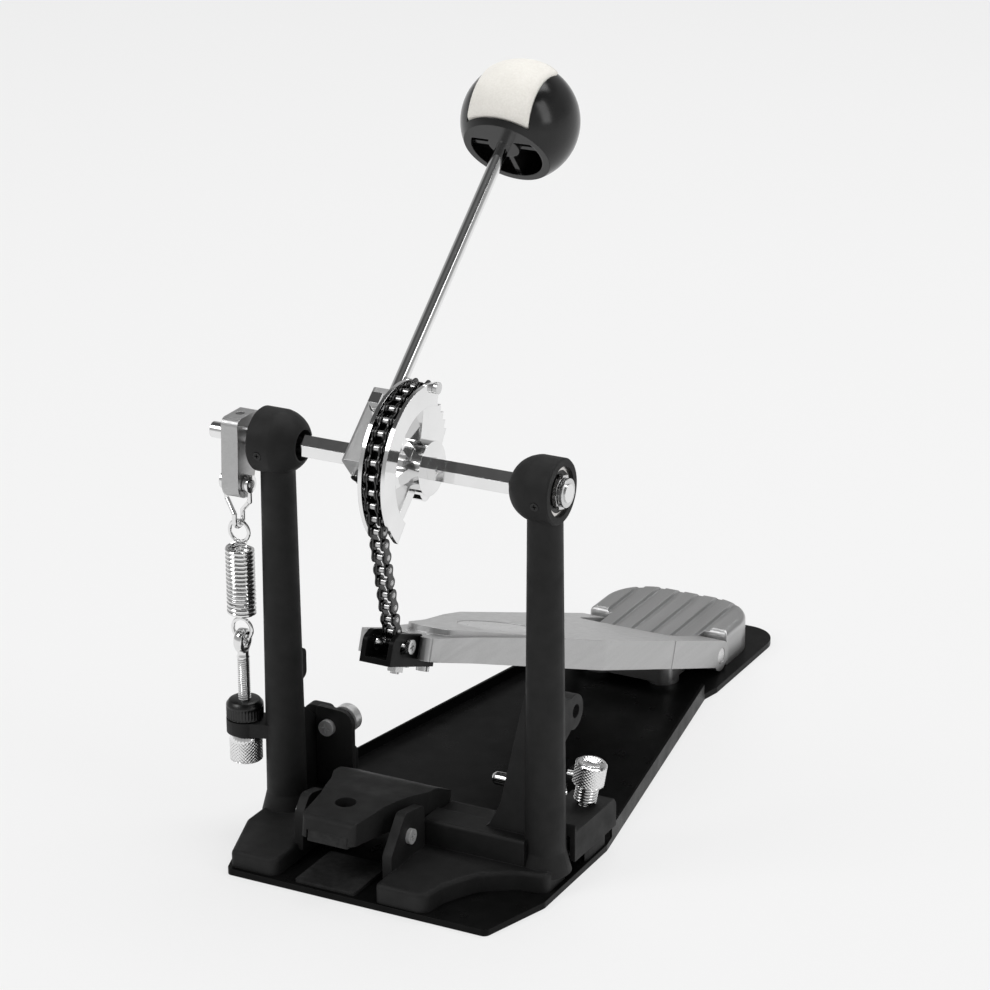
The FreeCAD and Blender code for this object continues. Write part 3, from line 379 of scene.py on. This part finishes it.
# ---------------------------------------------------------------- mesh helpers
class Shape:
    """Vertices and faces gathered in millimetres, with a material index per face."""

    def __init__(self):
        self.points = []
        self.faces = []
        self.index = []

    def add(self, points, faces, index=0):
        base = len(self.points)
        self.points += [tuple(p) for p in points]
        self.faces += [tuple(base + i for i in f) for f in faces]
        self.index += [index] * len(faces)

    def rings(self, rings, index=0, closed=False):
        """Skin over a list of equal rings of points, capped unless it closes on itself."""
        count = len(rings[0])
        points = [p for ring in rings for p in ring]
        faces = []
        spans = len(rings) if closed else len(rings) - 1
        for i in range(spans):
            a = i * count
            b = (i + 1) % len(rings) * count
            for j in range(count):
                k = (j + 1) % count
                faces.append((a + j, a + k, b + k, b + j))
        if not closed:
            faces.append(tuple(reversed(range(count))))
            faces.append(tuple(range((len(rings) - 1) * count, len(rings) * count)))
        self.add(points, faces, index)

    def make(self, name, body, paints, replaced, sharp=35.0):
        """Build the object; edges that turn by more than sharp degrees stay crisp."""
        mesh = bpy.data.meshes.new(name)
        mesh.from_pydata([tuple(c * MM for c in p) for p in self.points], [], self.faces)
        for paint in paints:
            mesh.materials.append(PAINTS[paint])
        mesh.polygons.foreach_set("material_index", self.index)
        bm = bmesh.new()
        bm.from_mesh(mesh)
        bmesh.ops.recalc_face_normals(bm, faces=bm.faces)
        for face in bm.faces:
            face.smooth = True
        for edge in bm.edges:
            edge.smooth = len(edge.link_faces) == 2 and edge.calc_face_angle(0) < math.radians(sharp)
        bm.to_mesh(mesh)
        bm.free()
        obj = bpy.data.objects.new(name, mesh)
        bpy.context.scene.collection.objects.link(obj)
        if body:
            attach(obj, body)
        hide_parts(*replaced)
        return obj


def basis(axis):
    """An axis and two directions square to it."""
    axis = Vector(axis).normalized()
    side = axis.orthogonal().normalized()
    if abs(axis.z) > 0.5:
        side = (Vector((1, 0, 0)) - axis * axis.x).normalized()
    return axis, side, axis.cross(side)


def lathe(shape, origin, axis, profile, steps, index, radius=None):
    """Turn (along, radius) pairs about an axis; radius(along, angle, r) may carve the surface."""
    axis, side, other = basis(axis)
    rings = []
    for along, r in profile:
        ring = []
        for j in range(steps):
            t = 2 * math.pi * j / steps
            rr = radius(along, t, r) if radius else r
            ring.append(Vector(origin) + axis * along + (side * math.cos(t) + other * math.sin(t)) * rr)
        rings.append(ring)
    shape.rings(rings, index)


def tube(shape, path, r, sides=10, closed=False):
    """Round wire along a path of points."""
    count = len(path)
    tangents = []
    for i in range(count):
        if closed:
            t = path[(i + 1) % count] - path[i - 1]
        else:
            t = path[min(i + 1, count - 1)] - path[max(i - 1, 0)]
        tangents.append(t.normalized())
    side = tangents[0].orthogonal().normalized()
    rings = []
    for i in range(count):
        t = tangents[i]
        side = (side - t * side.dot(t)).normalized()
        other = t.cross(side)
        ring = []
        for j in range(sides):
            turn = 2 * math.pi * j / sides
            ring.append(path[i] + (side * math.cos(turn) + other * math.sin(turn)) * r)
        rings.append(ring)
    shape.rings(rings, closed=closed)


def wave(v):
    """Triangle wave between 0 and 1."""
    v = v % 1.0
    return 2 * v if v < 0.5 else 2 - 2 * v


# ---------------------------------------------------------------- chain
def on_cam(phi, r):
    """Point at an angle round the axle from its top, towards the drum."""
    t = math.radians(phi)
    return Vector((0, -r * math.sin(t), AXLE_Z + r * math.cos(t)))


link_step = 2 * math.degrees(math.asin(PITCH / 2 / CHAIN_R))
phi_anchor = 90 + CHAIN_TILT - WRAPPED * link_step
pins = [on_cam(phi_anchor + k * link_step, CHAIN_R) for k in range(WRAPPED + 1)]
drop = math.radians(CHAIN_TILT)
for k in range(1, HANGING + 1):
    pins.append(pins[WRAPPED] + Vector((0, math.sin(drop), -math.cos(drop))) * PITCH * k)

PLATE_R = 2.85
PLATE_T = 0.75
WAIST = 0.95
INNER_X = 2.025
OUTER_X = 3.075
ROLLER_HALF = 1.62
CHAIN_PAINTS = ["chain_steel", "chain_bright"]
DARK, BRIGHT = 0, 1


def plate_outline(a, b, shrink):
    """Figure-of-eight outline round two pins in the plane of the chain."""
    along = (b - a).normalized()
    across = Vector((0, -along.z, along.y))
    r = PLATE_R - shrink

    def end(centre, start):
        for k in range(9):
            t = math.radians(start + 180 * k / 8)
            yield centre + (along * math.cos(t) + across * math.sin(t)) * r

    def waist(side):
        for f in (0.12, 0.25, 0.38, 0.5, 0.62, 0.75, 0.88):
            dip = WAIST * math.cos(math.pi * (f - 0.5)) ** 2
            yield a + (b - a) * f + across * side * (r - dip)

    return [*end(a, 90), *waist(-1), *end(b, -90), *reversed(list(waist(1)))]


def link_plate(shape, a, b, x):
    """Plate with eased edges, its middle at x from the line of the chain."""
    ease = 0.16
    rings = []
    for side, inset, shrink in ((-1, 0.0, ease), (-1, ease, 0.0), (1, ease, 0.0), (1, 0.0, ease)):
        shift = Vector((LINE_X + x + side * (PLATE_T / 2 - inset), 0, 0))
        rings.append([p + shift for p in plate_outline(a, b, shrink)])
    shape.rings(rings, DARK)


def roller(shape, p):
    end = [(ROLLER_HALF - 0.15, 1.65), (ROLLER_HALF, 1.5), (ROLLER_HALF, 1.25)]
    profile = [(-along, r) for along, r in reversed(end)] + end
    lathe(shape, p + Vector((LINE_X, 0, 0)), (1, 0, 0), profile, 24, BRIGHT)


def pin_head(shape, p):
    """Riveted ends of a pin, outside the outer plates."""
    profile = [(3.40, 1.34), (3.52, 1.34), (3.58, 1.22), (3.62, 1.02), (3.76, 0.92), (3.80, 0.6)]
    for side in (-1, 1):
        lathe(shape, p + Vector((LINE_X, 0, 0)), (side, 0, 0), profile, 20, BRIGHT)


def link(shape, k):
    """Odd links carry the rollers, even links the pins."""
    a, b = pins[k], pins[k + 1]
    inner = k % 2
    for side in (-1, 1):
        link_plate(shape, a, b, side * (INNER_X if inner else OUTER_X))
    if inner:
        roller(shape, a)
        roller(shape, b)
    else:
        if k > 0:
            pin_head(shape, a)
        pin_head(shape, b)


def make_chain():
    run_a = ["chain_link_1", "chain_link_2", "chain_link_3"]
    run_b = ["chain_link_4", "chain_link_5", "chain_link_6"]
    second = FIXED + len(run_a)
    runs = [("chain_on_cam", "axle", 0, FIXED, ["chain_on_cam"]),
            ("chain_run_a", "chain_run_a", FIXED, second, run_a),
            ("chain_run_b", "chain_run_b", second, WRAPPED, run_b),
            ("chain_strand", "chain_strand", WRAPPED, WRAPPED + HANGING, ["chain_strand"])]
    for name, body, first, last, replaced in runs:
        shape = Shape()
        for k in range(first, last):
            link(shape, k)
        shape.make(name + "_detail", body, CHAIN_PAINTS, replaced)


make_chain()


# ---------------------------------------------------------------- return spring
WIRE = 0.9
LOOP_R = 4.9
COIL_R = 5.85
TURNS = 16
STEPS_PER_TURN = 28
STIRRUP_DROP = 41.7
STIRRUP_WIRE = 1.2
LOOP_GAP = 0.3
LOOP_TOP = AXLE_Z - STIRRUP_DROP + STIRRUP_WIRE + LOOP_GAP + WIRE - LOOP_R
LOOP_LOW = 94.5


def make_spring():
    """Close-wound coil between two round loops; it stretches between its ends."""
    low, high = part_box("spring_coil")
    z0, z1 = low.z / MM + WIRE, high.z / MM - WIRE
    steps = TURNS * STEPS_PER_TURN
    body = []
    for k in range(steps + 1):
        t = 2 * math.pi * TURNS * k / steps
        z = z0 + (z1 - z0) * k / steps
        body.append(SPRING + Vector((COIL_R * math.sin(t), COIL_R * math.cos(t), z)))
    shape = Shape()
    tube(shape, body, WIRE)
    for centre in (LOOP_LOW, LOOP_TOP):
        ring = []
        for k in range(40):
            t = 2 * math.pi * k / 40
            ring.append(SPRING + Vector((LOOP_R * math.cos(t), 0, centre + LOOP_R * math.sin(t))))
        tube(shape, ring, WIRE, closed=True)
    obj = shape.make("return_spring", None, ["chrome"],
                     ["spring_coil", "spring_hook_lower", "spring_hook_upper"])
    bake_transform(obj)


make_spring()


# ---------------------------------------------------------------- knurled nuts and threads
NUT_BORE = 3.2
TENSION_NUT = (30.6, 44.6)
TENSION_NUT_R = 7.5
LOCK_NUT = (51.8, 60.6)
LOCK_NUT_R = 8.5
CLAMP_TIP = -20.4
GRIP = (10.8, 21.3)
GRIP_R = 7.2
BOLT_TIP = 31.4
BOLT_R = 2.95
THREAD_TOP = 82.0
EYE_Z = 89.2
EYE_HALF = 2.1
EYE_HOLE_R = 2.35


def knurl(z0, z1, pitch, depth, around):
    """Diamond knurl between two heights."""
    def carve(along, t, r):
        if not z0 <= along <= z1:
            return r
        u = around * t / (2 * math.pi)
        v = along / pitch
        to_groove = min(wave(u + v), wave(u - v))
        return r - depth * max(0.0, 1 - 2 * to_groove)
    return carve


def steps_between(a, b, count):
    return [a + (b - a) * k / count for k in range(count + 1)]


def serration(z0, z1, count, depth):
    """Straight grooves round a nut between two heights."""
    def carve(along, t, r):
        if not z0 <= along <= z1:
            return r
        return r - depth * wave(count * t / (2 * math.pi))
    return carve


def make_tension_nut():
    """Chrome nut under the lug, knurled and tapering at its top."""
    shape = Shape()
    r = TENSION_NUT_R
    z0, z1 = TENSION_NUT
    profile = [(z0, NUT_BORE), (z0, 6.2), (z0 + 0.3, 6.8), (z0 + 1.0, r)]
    profile += [(z, r) for z in steps_between(z0 + 1.3, z1 - 3.2, 38)]
    profile += [(z1 - 2.9, r - 0.1), (z1 - 0.3, 5.5), (z1, 5.2), (z1, NUT_BORE)]
    lathe(shape, SPRING, (0, 0, 1), profile, 168, 0, knurl(z0 + 1.2, z1 - 3.1, 1.55, 0.42, 28))
    shape.make("tension_nut_knurled", "tension_nut", ["chrome"], ["spring_tension_nut"], 60)


def make_lock_nut():
    """Black nut on the lug, with a serrated grip under a rounded shoulder."""
    shape = Shape()
    r = LOCK_NUT_R
    z0, z1 = LOCK_NUT
    profile = [(z0, NUT_BORE), (z0, 8.0), (z0 + 0.4, r)]
    profile += [(z, r) for z in steps_between(z0 + 0.6, z1 - 3.2, 4)]
    profile += [(z1 - 3.0, r), (z1 - 2.0, r - 0.1), (z1 - 0.4, 7.2), (z1, 6.6), (z1, NUT_BORE)]
    lathe(shape, SPRING, (0, 0, 1), profile, 144, 0, serration(z0 + 0.5, z1 - 3.1, 36, 0.35))
    shape.make("lock_nut_serrated", "lock_nut", ["black_oxide"], ["spring_lock_nut"], 60)


def thread(pitch, depth, z0, z1):
    """Single-start thread cut between two heights."""
    def carve(along, t, r):
        if not z0 <= along <= z1:
            return r
        return r - depth * wave(along / pitch - t / (2 * math.pi))
    return carve


def make_clamp_screw():
    """Leaning screw of the hoop clamp: threaded stem under a knurled grip."""
    lean = math.radians(KNOB_LEAN)
    axis = Vector((math.sin(lean), 0, math.cos(lean)))
    shape = Shape()
    low, high = GRIP
    stem = [(CLAMP_TIP, 2.0), (CLAMP_TIP + 0.2, 2.4)]
    stem += [(z, 2.6) for z in steps_between(CLAMP_TIP + 0.4, low - 0.2, 122)]
    stem += [(low, 2.2)]
    lathe(shape, KNOB_AT, axis, stem, 32, 0, thread(1.25, 0.4, CLAMP_TIP + 0.4, 10.0))
    r = GRIP_R
    grip = [(low, 2.3), (low, 6.4), (low + 0.5, r)]
    grip += [(z, r) for z in steps_between(low + 0.7, high - 0.9, 36)]
    grip += [(high - 0.7, r), (high, 6.4), (high, 4.9), (high - 0.8, 4.6), (high - 0.9, 0.5)]
    lathe(shape, KNOB_AT, axis, grip, 160, 0, knurl(low + 0.6, high - 0.8, 1.5, 0.42, 26))
    shape.make("clamp_screw_knurled", "clamp_screw", ["chrome"], ["clamp_screw"], 60)


def make_eye_bolt():
    """Threaded stem under a flat forged eye."""
    shape = Shape()
    stem = [(BOLT_TIP, 2.2), (BOLT_TIP + 0.4, 2.8)]
    stem += [(z, BOLT_R) for z in steps_between(BOLT_TIP + 0.6, THREAD_TOP - 0.5, 250)]
    stem += [(THREAD_TOP, 2.6), (EYE_Z - 5.0, 2.6)]
    lathe(shape, SPRING, (0, 0, 1), stem, 28, 0, thread(1.0, 0.38, BOLT_TIP + 0.6, THREAD_TOP - 1.0))
    centre = SPRING + Vector((0, 0, EYE_Z))
    outer = []
    inner = []
    for k in range(48):
        t = 2 * math.pi * k / 48
        grow = 1.0 + 0.16 * max(0.0, -math.sin(t)) ** 3
        outer.append(Vector((0, 5.2 * math.cos(t), 5.4 * math.sin(t) * grow)))
        inner.append(Vector((0, EYE_HOLE_R * math.cos(t), EYE_HOLE_R * math.sin(t))))
    rings = []
    half = EYE_HALF
    outside = [(-half, 0.5), (0.5 - half, 0.0), (half - 0.5, 0.0), (half, 0.5)]
    inside = [(half, -0.4), (half - 0.4, 0.0), (0.4 - half, 0.0), (-half, -0.4)]
    for x, ease, loop in [(*edge, outer) for edge in outside] + [(*edge, inner) for edge in inside]:
        rings.append([centre + p * (1 - ease / p.length) + Vector((x, 0, 0)) for p in loop])
    shape.rings(rings, 0, closed=True)
    shape.make("eye_bolt_threaded", "frame", ["chrome"], ["eye_bolt"], 50)


# ---------------------------------------------------------------- felt pad
HEAD_Y = -4.0
HEAD_Z = AXLE_Z + 177.7
PAD_R = 28.15
PAD_HALF = 15.05
PAD_ROUND = 1.05
PAD_LOW = -14.45
PAD_HIGH = 12.7
PAD_BACK = -16.45


def upright(p):
    """Turn a point of the upright beater to where it lies at rest."""
    a = math.radians(-REST)
    y, z = p.y, p.z - AXLE_Z
    return Vector((p.x, y * math.cos(a) - z * math.sin(a), AXLE_Z + y * math.sin(a) + z * math.cos(a)))


def make_felt_pad():
    """Thick pressed pad let into the head, rounded over its outer edges."""
    across, around = 30, 56
    rings = []
    for j in range(around + 1):
        front = []
        back = []
        for i in range(across + 1):
            x = PAD_HALF * (2 * i / across - 1)
            big = math.sqrt(PAD_R ** 2 - x ** 2)
            low = math.asin(PAD_LOW / big)
            high = math.acos(PAD_HIGH / big)
            t = low + (high - low) * j / around
            side = max(0.0, (abs(x) - PAD_HALF) / PAD_ROUND + 1)
            end = max(0.0, 1 - min(j, around - j) / 2.0)
            drop = 0.75 * side ** 2 + 0.6 * end ** 2
            lump = 0.16 * (noise.noise(Vector((x, t * 20, 3.0)) * 0.16) - 0.5) - 0.05
            r = big - drop + lump
            out = (BEATER_X + x, HEAD_Y - r * math.cos(t), HEAD_Z + r * math.sin(t))
            front.append(upright(Vector(out)))
            back.append(upright(Vector((BEATER_X + x, PAD_BACK, HEAD_Z + big * math.sin(t)))))
        rings.append(front + back[::-1])
    shape = Shape()
    shape.rings(rings)
    pad = shape.make("felt_pad", "beater_head", ["felt"], ["beater_felt"], 50)


make_tension_nut()
make_lock_nut()
make_clamp_screw()
make_eye_bolt()
make_felt_pad()
